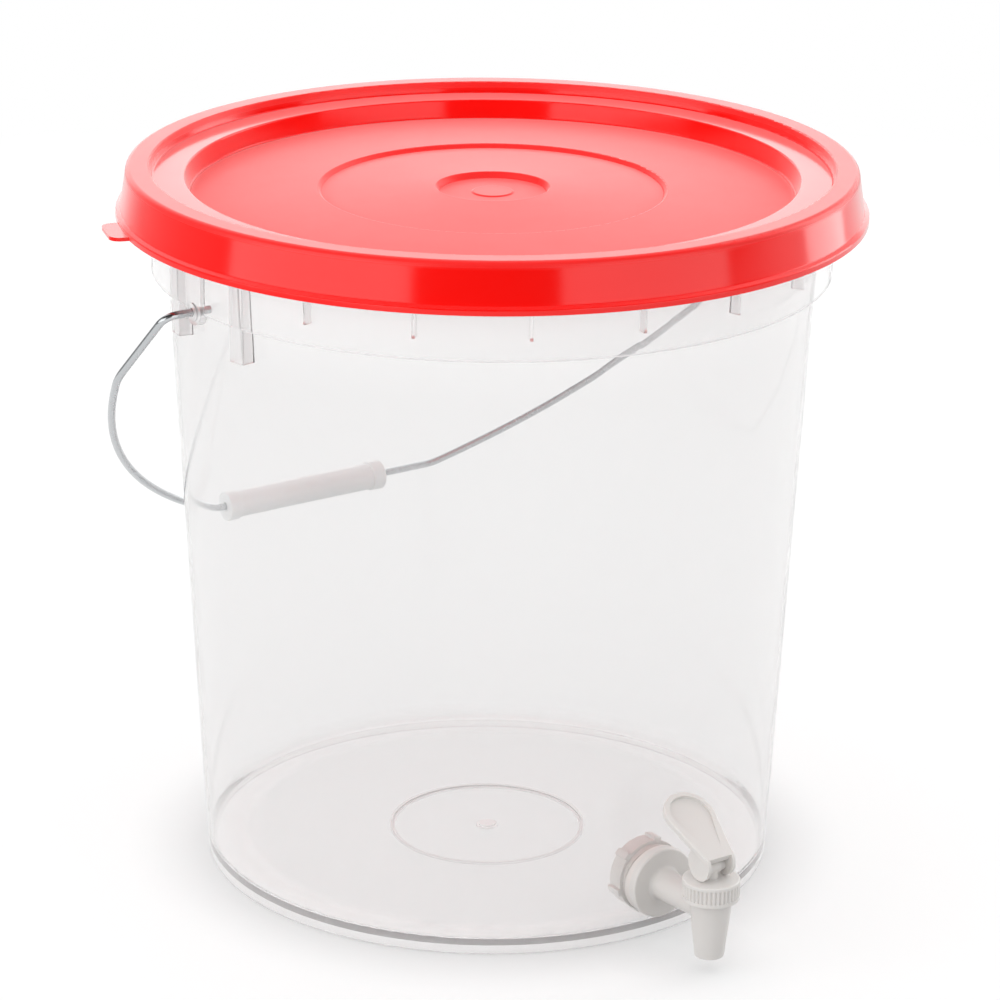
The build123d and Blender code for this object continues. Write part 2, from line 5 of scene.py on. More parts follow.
import bpy
from bpy.props import FloatProperty, FloatVectorProperty, PointerProperty
from bpy.types import Operator, Panel, PropertyGroup
from mathutils import Matrix, Vector


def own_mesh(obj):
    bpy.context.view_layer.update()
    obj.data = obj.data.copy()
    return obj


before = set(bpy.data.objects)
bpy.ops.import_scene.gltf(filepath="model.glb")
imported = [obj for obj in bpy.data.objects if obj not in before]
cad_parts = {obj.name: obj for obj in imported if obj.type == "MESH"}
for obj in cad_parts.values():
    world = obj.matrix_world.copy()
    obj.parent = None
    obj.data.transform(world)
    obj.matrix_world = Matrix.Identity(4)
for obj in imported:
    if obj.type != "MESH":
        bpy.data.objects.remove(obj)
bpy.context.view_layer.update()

bl_info = {
    "name": "Lidded bucket with tap",
    "version": (1, 0, 0),
    "blender": (4, 5, 0),
    "location": "View3D > Sidebar > Bucket",
    "description": "Dresses the moulded bucket, its lid, bail and tap, and sets the stage",
    "category": "Object",
}

# Where the bucket's finish changes, in metres: heights over the floor (Z) and distances from the
# axis (R), each pair from where a change starts to where it is complete
FOOT_Z = (0.007, 0.014)
FOOT_R = (0.11, 0.118)
FOOT_SHADOW_Z = (0.0035, 0.0039)
COLLAR_Z = (0.262, 0.3)
STUB_R = (0.0045, 0.0055)

# The ring around the gate, drawn with painted shade and a milky veil: its radius, and how far from
# it the shade and the veil end
GATE_R = 0.045
GATE_BAND = (0.0004, 0.0016)

# The wall leans out by this much per metre. Followed down to the foot along that lean, the wall's
# face is inside the first of these distances from the axis, and a web's face beyond the second
WALL_TAPER = 0.05144
WEB_R = (0.1329, 0.1336)

# The collar's apron, which stays clear between the webs: its radius, half its thickness and the
# height of its lower edge
APRON_R = 0.15345
APRON_HALF = 0.0011
APRON_FOOT_Z = 0.2838

# The lid's panel ends at this distance from the axis, and its outer edge starts at this height
PANEL_R = (0.134, 0.137)
EDGE_Z = (0.3262, 0.3278)

# Roughness of the lid's panel, outer edge and skirt, and the most that wear adds to it
PANEL_SATIN = 0.45
EDGE_SATIN = 0.32
SKIRT_GLOSS = 0.1
LID_WEAR = 0.06

# Round of the lid's outer edge: its centre's radius and height, and the height where it starts
RIM_ARC_R = 0.16255
RIM_ARC_Z = 0.3276
RIM_ARC_FOOT = 0.32797

# Most values of a noise pattern lie between these, and a wave pattern has this many turns per unit
NOISE_LOW = 0.3
NOISE_HIGH = 0.7
WAVE_TURNS = 20 / (2 * pi)

# A Mix node's sockets for vectors and for colours
MIX_VECTOR_A, MIX_VECTOR_B, MIX_VECTOR_OUT = 4, 5, 1
MIX_COLOUR_A, MIX_COLOUR_B, MIX_COLOUR_OUT = 6, 7, 2

# The floor lies this far under the foot, in metres, so that the two faces don't share a plane
FLOOR_SINK = 0.0004
FLOOR_SIDES = 96
# Its grey where it is seen, to which its own glow is added, and where it only throws light back
FLOOR_SHADE = "#A6A6A6"
FLOOR_BOUNCE = "#B3B3B3"
# Reach of the contact shadow, in metres, and the share of open sky over which it fades
NOOK_REACH = 0.04
NOOK_OPEN = (0.5, 1.0)
NOOK_SAMPLES = 8
# Distance from the axis, in metres, over which the floor turns to plain white
FAR_FLOOR = (0.9, 1.4)

# Edges of the curtain on the left and of the dim room behind the camera, as cosines of the angle to
# the camera's right and to the camera
CURTAIN_EDGE = (-0.75, -0.5)
ROOM_EDGE = (-0.12, 0.02)

# Way to the middle of the soft light: towards the camera, to its right and up
KEY_WAY = (-0.1, -0.35, 0.95)

# Each softbox's name, its metres towards the camera, to its right and up, its width, height and
# radiance, and whether it lights matt surfaces or only shows in glossy ones
SOFTBOXES = (
    ("softbox_back", -1.7, 0.0, 0.55, 2.6, 0.65, 1.3, True),
    ("softbox_left", 0.963, -1.244, 0.55, 1.8, 1.0, 1.8, True),
    ("softbox_right", 1.183, 1.225, 0.55, 1.7, 1.0, 1.0, True),
    ("softbox_right_gloss", 1.2, 1.243, 0.55, 1.7, 1.0, 0.5, False),
    ("softbox_rim_right", -0.7, 1.35, 0.6, 0.7, 1.2, 2.6, True),
)
SOFTBOX_AIM = Vector((0, 0, 0.33))

SENSOR_WIDTH_MM = 36.0


def linear(hex_colour):
    """Linear red, green and blue of an sRGB hex colour."""
    values = [int(hex_colour[i : i + 2], 16) / 255 for i in (1, 3, 5)]
    return tuple(v / 12.92 if v <= 0.04045 else ((v + 0.055) / 1.055) ** 2.4 for v in values)


def per_metre(size_mm):
    """Texture scale at which a pattern's features are about this many millimetres wide."""
    return 1000 / size_mm


class BucketFinish(PropertyGroup):
    """Colours and finishes of the bucket's pieces."""

    clear_tint: FloatVectorProperty(
        name="Clear tint",
        description="Cast of one wall of clear polypropylene",
        subtype="COLOR",
        min=0,
        max=1,
        default=linear("#F5F5F5"),
    )
    rim_tint: FloatVectorProperty(
        name="Rim tint",
        description="Cast of one wall at the collar, where four walls stand behind each other",
        subtype="COLOR",
        min=0,
        max=1,
        default=linear("#FDFDFD"),
    )
    clear_depth: FloatVectorProperty(
        name="Clear depth",
        description="Colour that long ways through the clear wall turn to",
        subtype="COLOR",
        min=0,
        max=1,
        default=linear("#CDCBCA"),
    )
    clear_absorption: FloatProperty(
        name="Clear absorption",
        description="How fast long ways through the clear wall darken, per metre",
        min=0,
        default=10.0,
    )
    wall_shadow: FloatProperty(
        name="Wall shadow",
        description="Share of the light that each face of the thin wall leaves in its shadow",
        subtype="FACTOR",
        min=0,
        max=1,
        default=0.95,
    )
    foot_shadow: FloatProperty(
        name="Foot shadow",
        description="Share of the light that each face of the foot ring leaves in its shadow",
        subtype="FACTOR",
        min=0,
        max=1,
        default=0.35,
    )
    clear_share: FloatProperty(
        name="Clear share",
        description="Share of the light that passes the thin wall unscattered, the rest is a veil",
        subtype="FACTOR",
        min=0,
        max=1,
        default=0.95,
    )
    thick_share: FloatProperty(
        name="Thick share",
        description="Share of the light that passes the thick foot unscattered",
        subtype="FACTOR",
        min=0,
        max=1,
        default=0.8,
    )
    rim_share: FloatProperty(
        name="Rim share",
        description="Share of the light that passes the collar unscattered",
        subtype="FACTOR",
        min=0,
        max=1,
        default=0.88,
    )
    web_share: FloatProperty(
        name="Web share",
        description="Share of the light that passes the ears and gussets unscattered",
        subtype="FACTOR",
        min=0,
        max=1,
        default=0.72,
    )
    # Painted shade: a darker tint along the ring around the gate, standing in for the shade line at
    # its step
    gate_painted_shade: FloatProperty(
        name="Gate shade",
        description="How dark the worn ring around the gate shows in the floor, 1 for not at all",
        subtype="FACTOR",
        min=0,
        max=1,
        default=0.89,
    )
    # The ring around the gate, made milky by this share, also carries painted shade in its tint
    gate_share: FloatProperty(
        name="Gate share",
        description="Share of the light that passes the worn ring and the gate's stub unscattered",
        subtype="FACTOR",
        min=0,
        max=1,
        default=0.3,
    )
    lid_red: FloatVectorProperty(
        name="Lid red",
        description="Pigment of the red polyethylene",
        subtype="COLOR",
        min=0,
        max=1,
        default=linear("#FF0A04"),
    )
    # Painted shade: the tap's white is drawn greyer than the grip's, for the shade that falls on
    # the tap
    tap_white_painted_shade: FloatVectorProperty(
        name="Tap white",
        description="Pigment of the tap's white polypropylene",
        subtype="COLOR",
        min=0,
        max=1,
        default=linear("#DFDCD9"),
    )
    # Painted light: the grip's white is drawn whiter than the tap's, to lift the grip where little
    # light reaches it
    grip_white_painted_light: FloatVectorProperty(
        name="Grip white",
        description="Pigment of the hand grip's white polypropylene",
        subtype="COLOR",
        min=0,
        max=1,
        default=linear("#F8FAFA"),
    )
    zinc_grey: FloatVectorProperty(
        name="Zinc grey",
        description="Reflection colour of the bright zinc on the wire",
        subtype="COLOR",
        min=0,
        max=1,
        default=linear("#C2C5C7"),
    )
    steel_grey: FloatVectorProperty(
        name="Steel grey",
        description="Reflection colour of the stainless lever pin",
        subtype="COLOR",
        min=0,
        max=1,
        default=linear("#BDBCBA"),
    )
    seal_pale: FloatVectorProperty(
        name="Seal colour",
        description="Milky tone of the silicone seals",
        subtype="COLOR",
        min=0,
        max=1,
        default=linear("#E4DEDA"),
    )


class BucketStage(PropertyGroup):
    """Camera, lamps and floor around the bucket."""

    bearing: FloatProperty(
        name="Bearing",
        description="Turn of the camera about the bucket, from the tap's side",
        subtype="ANGLE",
        default=radians(34.4),
    )
    distance: FloatProperty(
        name="Distance",
        description="Level distance from the bucket's axis to the camera",
        unit="LENGTH",
        default=1.749,
    )
    camera_height: FloatProperty(
        name="Camera height",
        description="Height of the camera over the floor",
        unit="LENGTH",
        default=0.78165,
    )
    pitch: FloatProperty(
        name="Pitch",
        description="How far the camera looks down",
        subtype="ANGLE",
        default=radians(19.3168),
    )
    yaw: FloatProperty(
        name="Yaw",
        description="How far the camera looks right of the bucket's axis",
        subtype="ANGLE",
        default=radians(0.154),
    )
    roll: FloatProperty(
        name="Roll",
        description="Tilt of the camera about its line of sight",
        subtype="ANGLE",
        default=radians(0.572),
    )
    lens: FloatProperty(
        name="Lens",
        description="Focal length on a 36 mm wide picture",
        unit="CAMERA",
        default=144.06,
    )
    floor_radius: FloatProperty(
        name="Floor radius",
        description="Radius of the pale floor",
        unit="LENGTH",
        default=7.0,
    )
    floor_glow: FloatProperty(
        name="Floor glow",
        description="White that the floor shows by itself, so that its shadows stay pale",
        min=0,
        max=1,
        default=0.595,
    )
    contact_glow: FloatProperty(
        name="Contact glow",
        description="White that the floor shows by itself in the nook beside the foot",
        min=0,
        max=1,
        default=0.43,
    )
    fill: FloatProperty(
        name="Fill",
        description="Soft light from all round on the bucket",
        min=0,
        default=0.496,
    )
    fill_swing: FloatProperty(
        name="Fill swing",
        description="How much stronger the soft light is from its middle, and weaker opposite",
        min=0,
        default=0.7,
    )
    curtain: FloatProperty(
        name="Curtain",
        description="How bright the curtain on the left shows in glossy surfaces",
        min=0,
        max=1,
        default=0.3,
    )
    room: FloatProperty(
        name="Dim room",
        description="How bright the room behind the camera shows in glossy surfaces",
        min=0,
        max=1,
        default=0.024,
    )


def add_node(tree, kind, values=None, links=None, **settings):
    """Adds a shader node with its settings, its sockets' values and the outputs linked to it."""
    node = tree.nodes.new(kind)
    for name, value in settings.items():
        setattr(node, name, value)
    for socket, value in (values or {}).items():
        node.inputs[socket].default_value = value
    for socket, output in (links or {}).items():
        tree.links.new(output, node.inputs[socket])
    return node


def new_material(name):
    """An empty node material."""
    material = bpy.data.materials.new(name)
    material.use_nodes = True
    material.node_tree.nodes.clear()
    return material, material.node_tree


def dress(material, *nodes):
    """Gives CAD nodes a material."""
    for name in nodes:
        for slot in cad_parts[name].material_slots:
            slot.material = material


def from_axis(tree, place):
    """A point's level way from the bucket's axis, the length of that way and the point's height."""
    level = add_node(tree, "ShaderNodeVectorMath", {1: (1, 1, 0)}, {0: place}, operation="MULTIPLY")
    flat = level.outputs["Vector"]
    reach = add_node(tree, "ShaderNodeVectorMath", None, {0: flat}, operation="LENGTH")
    height = add_node(tree, "ShaderNodeSeparateXYZ", None, {"Vector": place})
    return flat, reach.outputs["Value"], height.outputs["Z"]


def body_clarity(tree, finish, reach, height, off_gate):
    """Share of the light that passes the bucket's face unscattered, the rest is a milky veil."""
    foot = add_node(
        tree,
        "ShaderNodeMapRange",
        {
            "From Min": FOOT_Z[0],
            "From Max": FOOT_Z[1],
            "To Min": finish.thick_share,
            "To Max": finish.clear_share,
        },
        {"Value": height},
    )
    ring = add_node(
        tree,
        "ShaderNodeMapRange",
        {
            "From Min": FOOT_R[0],
            "From Max": FOOT_R[1],
            "To Min": finish.clear_share,
            "To Max": finish.thick_share,
        },
        {"Value": reach},
    )
    foot_ring = add_node(
        tree,
        "ShaderNodeMath",
        None,
        {0: foot.outputs["Result"], 1: ring.outputs["Result"]},
        operation="MAXIMUM",
    )
    rim = add_node(
        tree,
        "ShaderNodeMapRange",
        {
            "From Min": COLLAR_Z[0],
            "From Max": COLLAR_Z[1],
            "To Min": finish.clear_share,
            "To Max": finish.rim_share,
        },
        {"Value": height},
    )
    clear = add_node(
        tree,
        "ShaderNodeMath",
        None,
        {0: foot_ring.outputs["Value"], 1: rim.outputs["Result"]},
        operation="MINIMUM",
    )
    # Milky veil along the ring around the gate and over the gate's stub
    worn = add_node(
        tree,
        "ShaderNodeMapRange",
        {
            "From Min": GATE_BAND[0],
            "From Max": GATE_BAND[1],
            "To Min": finish.gate_share,
            "To Max": 1.0,
        },
        {"Value": off_gate},
    )
    stub = add_node(
        tree,
        "ShaderNodeMapRange",
        {
            "From Min": STUB_R[0],
            "From Max": STUB_R[1],
            "To Min": finish.gate_share,
            "To Max": 1.0,
        },
        {"Value": reach},
    )
    scuffed = add_node(
        tree,
        "ShaderNodeMath",
        None,
        {0: worn.outputs["Result"], 1: stub.outputs["Result"]},
        operation="MINIMUM",
    )
    plain = add_node(
        tree,
        "ShaderNodeMath",
        None,
        {0: clear.outputs["Value"], 1: scuffed.outputs["Value"]},
        operation="MINIMUM",
    )
    # Ears and gussets stand out from the leaning wall, and so does the apron, which stays clear
    upright = add_node(
        tree,
        "ShaderNodeMath",
        {1: -WALL_TAPER},
        {0: height, 2: reach},
        operation="MULTIPLY_ADD",
    )
    proud = add_node(
        tree,
        "ShaderNodeMapRange",
        {
            "From Min": WEB_R[0],
            "From Max": WEB_R[1],
            "To Min": 1.0,
            "To Max": finish.web_share,
        },
        {"Value": upright.outputs["Value"]},
    )
    apron_face = add_node(
        tree,
        "ShaderNodeMath",
        {1: APRON_R, 2: APRON_HALF},
        {0: reach},
        operation="COMPARE",
    )
    over_edge = add_node(
        tree,
        "ShaderNodeMath",
        {1: APRON_FOOT_Z},
        {0: height},
        operation="GREATER_THAN",
    )
    apron = add_node(
        tree,
        "ShaderNodeMath",
        None,
        {0: apron_face.outputs["Value"], 1: over_edge.outputs["Value"]},
        operation="MULTIPLY",
    )
    webs = add_node(
        tree,
        "ShaderNodeMath",
        None,
        {0: proud.outputs["Result"], 1: apron.outputs["Value"]},
        operation="MAXIMUM",
    )
    passed = add_node(
        tree,
        "ShaderNodeMath",
        None,
        {0: plain.outputs["Value"], 1: webs.outputs["Value"]},
        operation="MINIMUM",
    )
    return passed.outputs["Value"]


def clear_polypropylene(finish):
    """Clear injection-moulded polypropylene.

    See-through and glossy with faint flow ripples, greyer where the eye looks along the wall, and
    slightly milky at the foot, the collar, the ears and gussets and the ring around the gate,
    whose darker tint is painted shade.
    """
    material, tree = new_material("clear_polypropylene")
    place = add_node(tree, "ShaderNodeTexCoord").outputs["Object"]
    _, reach, height = from_axis(tree, place)
    haze = add_node(
        tree,
        "ShaderNodeTexNoise",
        {"Scale": per_metre(35), "Detail": 3.0, "Roughness": 0.55},
        {"Vector": place},
    )
    gloss = add_node(
        tree,
        "ShaderNodeMapRange",
        {"From Min": NOISE_LOW, "From Max": NOISE_HIGH, "To Min": 0.01, "To Max": 0.04},
        {"Value": haze.outputs["Fac"]},
    )
    flow = add_node(
        tree,
        "ShaderNodeTexNoise",
        {"Scale": per_metre(28), "Detail": 1.0},
        {"Vector": place},
    )
    ripple = add_node(
        tree,
        "ShaderNodeBump",
        {"Strength": 0.12, "Distance": 0.0006},
        {"Height": flow.outputs["Fac"]},
    )
    from_gate = add_node(
        tree,
        "ShaderNodeMath",
        {1: GATE_R},
        {0: reach},
        operation="SUBTRACT",
    )
    off_gate = add_node(
        tree,
        "ShaderNodeMath",
        None,
        {0: from_gate.outputs["Value"]},
        operation="ABSOLUTE",
    ).outputs["Value"]
    # Painted shade: the tint is darkened along the ring around the gate
    gate = add_node(
        tree,
        "ShaderNodeMapRange",
        {
            "From Min": GATE_BAND[0],
            "From Max": GATE_BAND[1],
            "To Min": finish.gate_painted_shade,
            "To Max": 1.0,
        },
        {"Value": off_gate},
    )
    collar = add_node(
        tree,
        "ShaderNodeMapRange",
        {"From Min": COLLAR_Z[0], "From Max": COLLAR_Z[1]},
        {"Value": height},
    )
    cast = add_node(
        tree,
        "ShaderNodeMix",
        {MIX_COLOUR_A: (*finish.clear_tint, 1), MIX_COLOUR_B: (*finish.rim_tint, 1)},
        {"Factor": collar.outputs["Result"]},
        data_type="RGBA",
    )
    tint_with_ring_shade = add_node(
        tree,
        "ShaderNodeVectorMath",
        None,
        {"Vector": cast.outputs[MIX_COLOUR_OUT], "Scale": gate.outputs["Result"]},
        operation="SCALE",
    )
    # A thin wall bends the view less than its two faces would, so the IOR is under the real 1.49
    shader = add_node(
        tree,
        "ShaderNodeBsdfPrincipled",
        {"IOR": 1.2, "Coat Weight": 0.15, "Coat Roughness": 0.06, "Coat IOR": 1.49},
        {
            "Base Color": tint_with_ring_shade.outputs["Vector"],
            "Roughness": gloss.outputs["Result"],
            "Normal": ripple.outputs["Normal"],
            "Transmission Weight": body_clarity(tree, finish, reach, height, off_gate),
        },
    )
    shade = add_node(
        tree,
        "ShaderNodeMapRange",
        {
            "From Min": FOOT_SHADOW_Z[0],
            "From Max": FOOT_SHADOW_Z[1],
            "To Min": finish.foot_shadow,
            "To Max": finish.wall_shadow,
        },
        {"Value": height},
    )
    through = add_node(
        tree,
        "ShaderNodeBsdfTransparent",
        None,
        {"Color": shade.outputs["Result"]},
    )
    path = add_node(tree, "ShaderNodeLightPath")
    surface = add_node(
        tree,
        "ShaderNodeMixShader",
        None,
        {0: path.outputs["Is Shadow Ray"], 1: shader.outputs["BSDF"], 2: through.outputs["BSDF"]},
    )
    depth = add_node(
        tree,
        "ShaderNodeVolumeAbsorption",
        {"Color": (*finish.clear_depth, 1), "Density": finish.clear_absorption},
    )
    add_node(
        tree,
        "ShaderNodeOutputMaterial",
        None,
        {"Surface": surface.outputs["Shader"], "Volume": depth.outputs["Volume"]},
    )
    return material


def lid_normal(tree, flat, reach, height):
    """Normal of the lid's face.

    The outer edge is a torus, and its own normal keeps the reflection there as even as on the
    moulding.
    """
    unit = add_node(tree, "ShaderNodeVectorMath", None, {0: flat}, operation="NORMALIZE")
    out = add_node(
        tree,
        "ShaderNodeMath",
        {1: RIM_ARC_R},
        {0: reach},
        operation="SUBTRACT",
    ).outputs["Value"]
    up = add_node(tree, "ShaderNodeMath", {1: RIM_ARC_Z}, {0: height}, operation="SUBTRACT")
    outward = add_node(
        tree,
        "ShaderNodeVectorMath",
        None,
        {"Vector": unit.outputs["Vector"], "Scale": out},
        operation="SCALE",
    )
    upward = add_node(tree, "ShaderNodeCombineXYZ", None, {"Z": up.outputs["Value"]})
    arc = add_node(
        tree,
        "ShaderNodeVectorMath",
        None,
        {0: outward.outputs["Vector"], 1: upward.outputs["Vector"]},
        operation="ADD",
    )
    turned = add_node(
        tree,
        "ShaderNodeVectorTransform",
        None,
        {"Vector": arc.outputs["Vector"]},
        vector_type="NORMAL",
        convert_from="OBJECT",
        convert_to="WORLD",
    )
    outside = add_node(tree, "ShaderNodeMath", {1: 0.0}, {0: out}, operation="GREATER_THAN")
    over = add_node(
        tree,
        "ShaderNodeMath",
        {1: RIM_ARC_FOOT},
        {0: height},
        operation="GREATER_THAN",
    )
    on_arc = add_node(
        tree,
        "ShaderNodeMath",
        None,
        {0: outside.outputs["Value"], 1: over.outputs["Value"]},
        operation="MULTIPLY",
    )
    face = add_node(
        tree,
        "ShaderNodeMix",
        None,
        {
            "Factor": on_arc.outputs["Value"],
            MIX_VECTOR_A: add_node(tree, "ShaderNodeNewGeometry").outputs["Normal"],
            MIX_VECTOR_B: turned.outputs["Vector"],
        },
        data_type="VECTOR",
    )
    even = add_node(
        tree,
        "ShaderNodeVectorMath",
        None,
        {0: face.outputs[MIX_VECTOR_OUT]},
        operation="NORMALIZE",
    )
    return even.outputs["Vector"]


def red_polyethylene(finish):
    """Moulded polyethylene with a strong red pigment.

    A satin panel with a soft pink sheen at flat angles, and a glossy skirt with slightly wavy
    reflections.
    """
    material, tree = new_material("red_polyethylene")
    place = add_node(tree, "ShaderNodeTexCoord").outputs["Object"]
    flat, reach, height = from_axis(tree, place)
    wear = add_node(
        tree,
        "ShaderNodeTexNoise",
        {"Scale": per_metre(14), "Detail": 5.0, "Roughness": 0.6},
        {"Vector": place},
    )
    panel = add_node(
        tree,
        "ShaderNodeMapRange",
        {
            "From Min": PANEL_R[0],
            "From Max": PANEL_R[1],
            "To Min": PANEL_SATIN,
            "To Max": SKIRT_GLOSS,
        },
        {"Value": reach},
    )
    edge = add_node(
        tree,
        "ShaderNodeMapRange",
        {
            "From Min": EDGE_Z[0],
            "From Max": EDGE_Z[1],
            "To Min": SKIRT_GLOSS,
            "To Max": EDGE_SATIN,
        },
        {"Value": height},
    )
    satin = add_node(
        tree,
        "ShaderNodeMath",
        None,
        {0: panel.outputs["Result"], 1: edge.outputs["Result"]},
        operation="MAXIMUM",
    )
    gloss = add_node(
        tree,
        "ShaderNodeMath",
        {1: LID_WEAR},
        {0: wear.outputs["Fac"], 2: satin.outputs["Value"]},
        operation="MULTIPLY_ADD",
    )
    shrink = add_node(
        tree,
        "ShaderNodeTexNoise",
        {"Scale": per_metre(40), "Detail": 1.0},
        {"Vector": place},
    )
    waves = add_node(
        tree,
        "ShaderNodeBump",
        {"Strength": 0.1, "Distance": 0.0008},
        {"Height": shrink.outputs["Fac"], "Normal": lid_normal(tree, flat, reach, height)},
    )
    shader = add_node(
        tree,
        "ShaderNodeBsdfPrincipled",
        {
            "Base Color": (*finish.lid_red, 1),
            "IOR": 1.5,
            "Sheen Weight": 1.0,
            "Sheen Roughness": 0.3,
            "Sheen Tint": (1.0, 0.98, 0.97, 1),
        },
        {"Roughness": gloss.outputs["Value"], "Normal": waves.outputs["Normal"]},
    )
    add_node(tree, "ShaderNodeOutputMaterial", None, {"Surface": shader.outputs["BSDF"]})
    return material


def zinc_plated_wire(finish):
    """Drawn steel wire with bright zinc: mirror-like streaks along a slightly cloudy grey."""
    material, tree = new_material("zinc_plated_wire")
    place = add_node(tree, "ShaderNodeTexCoord").outputs["Object"]
    clouds = add_node(
        tree,
        "ShaderNodeTexNoise",
        {"Scale": per_metre(3), "Detail": 4.0, "Roughness": 0.6},
        {"Vector": place},
    )
    gloss = add_node(
        tree,
        "ShaderNodeMapRange",
        {"From Min": NOISE_LOW, "From Max": NOISE_HIGH, "To Min": 0.16, "To Max": 0.3},
        {"Value": clouds.outputs["Fac"]},
    )
    shader = add_node(
        tree,
        "ShaderNodeBsdfPrincipled",
        {"Base Color": (*finish.zinc_grey, 1), "Metallic": 1.0},
        {"Roughness": gloss.outputs["Result"]},
    )
    add_node(tree, "ShaderNodeOutputMaterial", None, {"Surface": shader.outputs["BSDF"]})
    return material


def white_polypropylene(name, pigment):
    """Moulded white polypropylene: satin, a little translucent, with the tool's spark texture."""
    material, tree = new_material(name)
    place = add_node(tree, "ShaderNodeTexCoord").outputs["Object"]
    # The real texture is about 0.05 mm wide, too fine to show, and is drawn at 0.7 mm
    spark = add_node(
        tree,
        "ShaderNodeTexNoise",
        {"Scale": per_metre(0.7), "Detail": 2.0},
        {"Vector": place},
    )
    grain = add_node(
        tree,
        "ShaderNodeBump",
        {"Strength": 0.15, "Distance": 0.00008},
        {"Height": spark.outputs["Fac"]},
    )
    gloss = add_node(
        tree,
        "ShaderNodeMapRange",
        {"From Min": NOISE_LOW, "From Max": NOISE_HIGH, "To Min": 0.3, "To Max": 0.42},
        {"Value": spark.outputs["Fac"]},
    )
    shader = add_node(
        tree,
        "ShaderNodeBsdfPrincipled",
        {
            "Base Color": (*pigment, 1),
            "IOR": 1.49,
            "Subsurface Weight": 0.2,
            "Subsurface Radius": (1.0, 0.9, 0.8),
            "Subsurface Scale": 0.0015,
        },
        {"Roughness": gloss.outputs["Result"], "Normal": grain.outputs["Normal"]},
    )
    add_node(tree, "ShaderNodeOutputMaterial", None, {"Surface": shader.outputs["BSDF"]})
    return material


def silicone(finish):
    """Moulded silicone: milky, matt and soft in the light."""
    material, tree = new_material("silicone")
    place = add_node(tree, "ShaderNodeTexCoord").outputs["Object"]
    # The dust that clings to it is finer than 0.1 mm, too fine to show, and is drawn at 1.5 mm
    dust = add_node(
        tree,
        "ShaderNodeTexNoise",
        {"Scale": per_metre(1.5), "Detail": 3.0},
        {"Vector": place},
    )
    gloss = add_node(
        tree,
        "ShaderNodeMapRange",
        {"From Min": NOISE_LOW, "From Max": NOISE_HIGH, "To Min": 0.42, "To Max": 0.6},
        {"Value": dust.outputs["Fac"]},
    )
    shader = add_node(
        tree,
        "ShaderNodeBsdfPrincipled",
        {
            "Base Color": (*finish.seal_pale, 1),
            "IOR": 1.41,
            "Subsurface Weight": 0.4,
            "Subsurface Radius": (1.0, 0.9, 0.85),
            "Subsurface Scale": 0.002,
        },
        {"Roughness": gloss.outputs["Result"]},
    )
    add_node(tree, "ShaderNodeOutputMaterial", None, {"Surface": shader.outputs["BSDF"]})
    return material


def stainless_pin(finish):
    """Turned stainless steel: satin grey with fine rings from the lathe."""
    material, tree = new_material("stainless_pin")
    place = add_node(tree, "ShaderNodeTexCoord").outputs["Object"]
    # Real rings are about 0.1 mm apart, too fine to show, and are drawn at 0.79 mm
    rings = add_node(
        tree,
        "ShaderNodeTexWave",
        {"Scale": per_metre(0.79) / WAVE_TURNS, "Distortion": 0.4},
        {"Vector": place},
        wave_type="BANDS",
        bands_direction="X",
    )
    gloss = add_node(
        tree,
        "ShaderNodeMapRange",
        {"To Min": 0.25, "To Max": 0.38},
        {"Value": rings.outputs["Fac"]},
    )
    shader = add_node(
        tree,
        "ShaderNodeBsdfPrincipled",
        {"Base Color": (*finish.steel_grey, 1), "Metallic": 1.0},
        {"Roughness": gloss.outputs["Result"]},
    )
    add_node(tree, "ShaderNodeOutputMaterial", None, {"Surface": shader.outputs["BSDF"]})
    return material


class BUCKET_OT_body(Operator):
    """Dress the clear bucket moulding"""

    bl_idname = "bucket.body"
    bl_label = "Clear bucket"

    def execute(self, context):
        dress(clear_polypropylene(context.scene.bucket_finish), "bucket_body")
        return {"FINISHED"}


class BUCKET_OT_lid(Operator):
    """Dress the red lid"""

    bl_idname = "bucket.lid"
    bl_label = "Red lid"

    def execute(self, context):
        dress(red_polyethylene(context.scene.bucket_finish), "lid")
        return {"FINISHED"}


class BUCKET_OT_bail(Operator):
    """Dress the wire bail"""

    bl_idname = "bucket.bail"
    bl_label = "Wire bail"

    def execute(self, context):
        dress(zinc_plated_wire(context.scene.bucket_finish), "bail_wire")
        return {"FINISHED"}


class BUCKET_OT_white_mouldings(Operator):
    """Dress the tap's mouldings and the hand grip"""

    bl_idname = "bucket.white_mouldings"
    bl_label = "White mouldings"

    def execute(self, context):
        finish = context.scene.bucket_finish
        # Tap and grip are one white polypropylene: the tap's copy is drawn greyer as painted shade,
        # the grip's whiter as painted light
        tap = white_polypropylene("white_polypropylene", finish.tap_white_painted_shade)
        dress(tap, "tap_body", "tap_bonnet", "tap_lever", "lock_nut", "valve_stem")
        dress(white_polypropylene("bright_polypropylene", finish.grip_white_painted_light), "bail_grip")
        return {"FINISHED"}


class BUCKET_OT_seals(Operator):
    """Dress the gaskets and the soft stopper"""

    bl_idname = "bucket.seals"
    bl_label = "Silicone seals"

    def execute(self, context):
        dress(silicone(context.scene.bucket_finish), "outer_gasket", "inner_gasket", "seat_cup")
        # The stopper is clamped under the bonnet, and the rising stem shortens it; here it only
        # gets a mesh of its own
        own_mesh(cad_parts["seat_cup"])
        return {"FINISHED"}


class BUCKET_OT_pin(Operator):
    """Dress the lever's pivot pin"""

    bl_idname = "bucket.pin"
    bl_label = "Lever pin"

    def execute(self, context):
        dress(stainless_pin(context.scene.bucket_finish), "lever_pin")
        return {"FINISHED"}


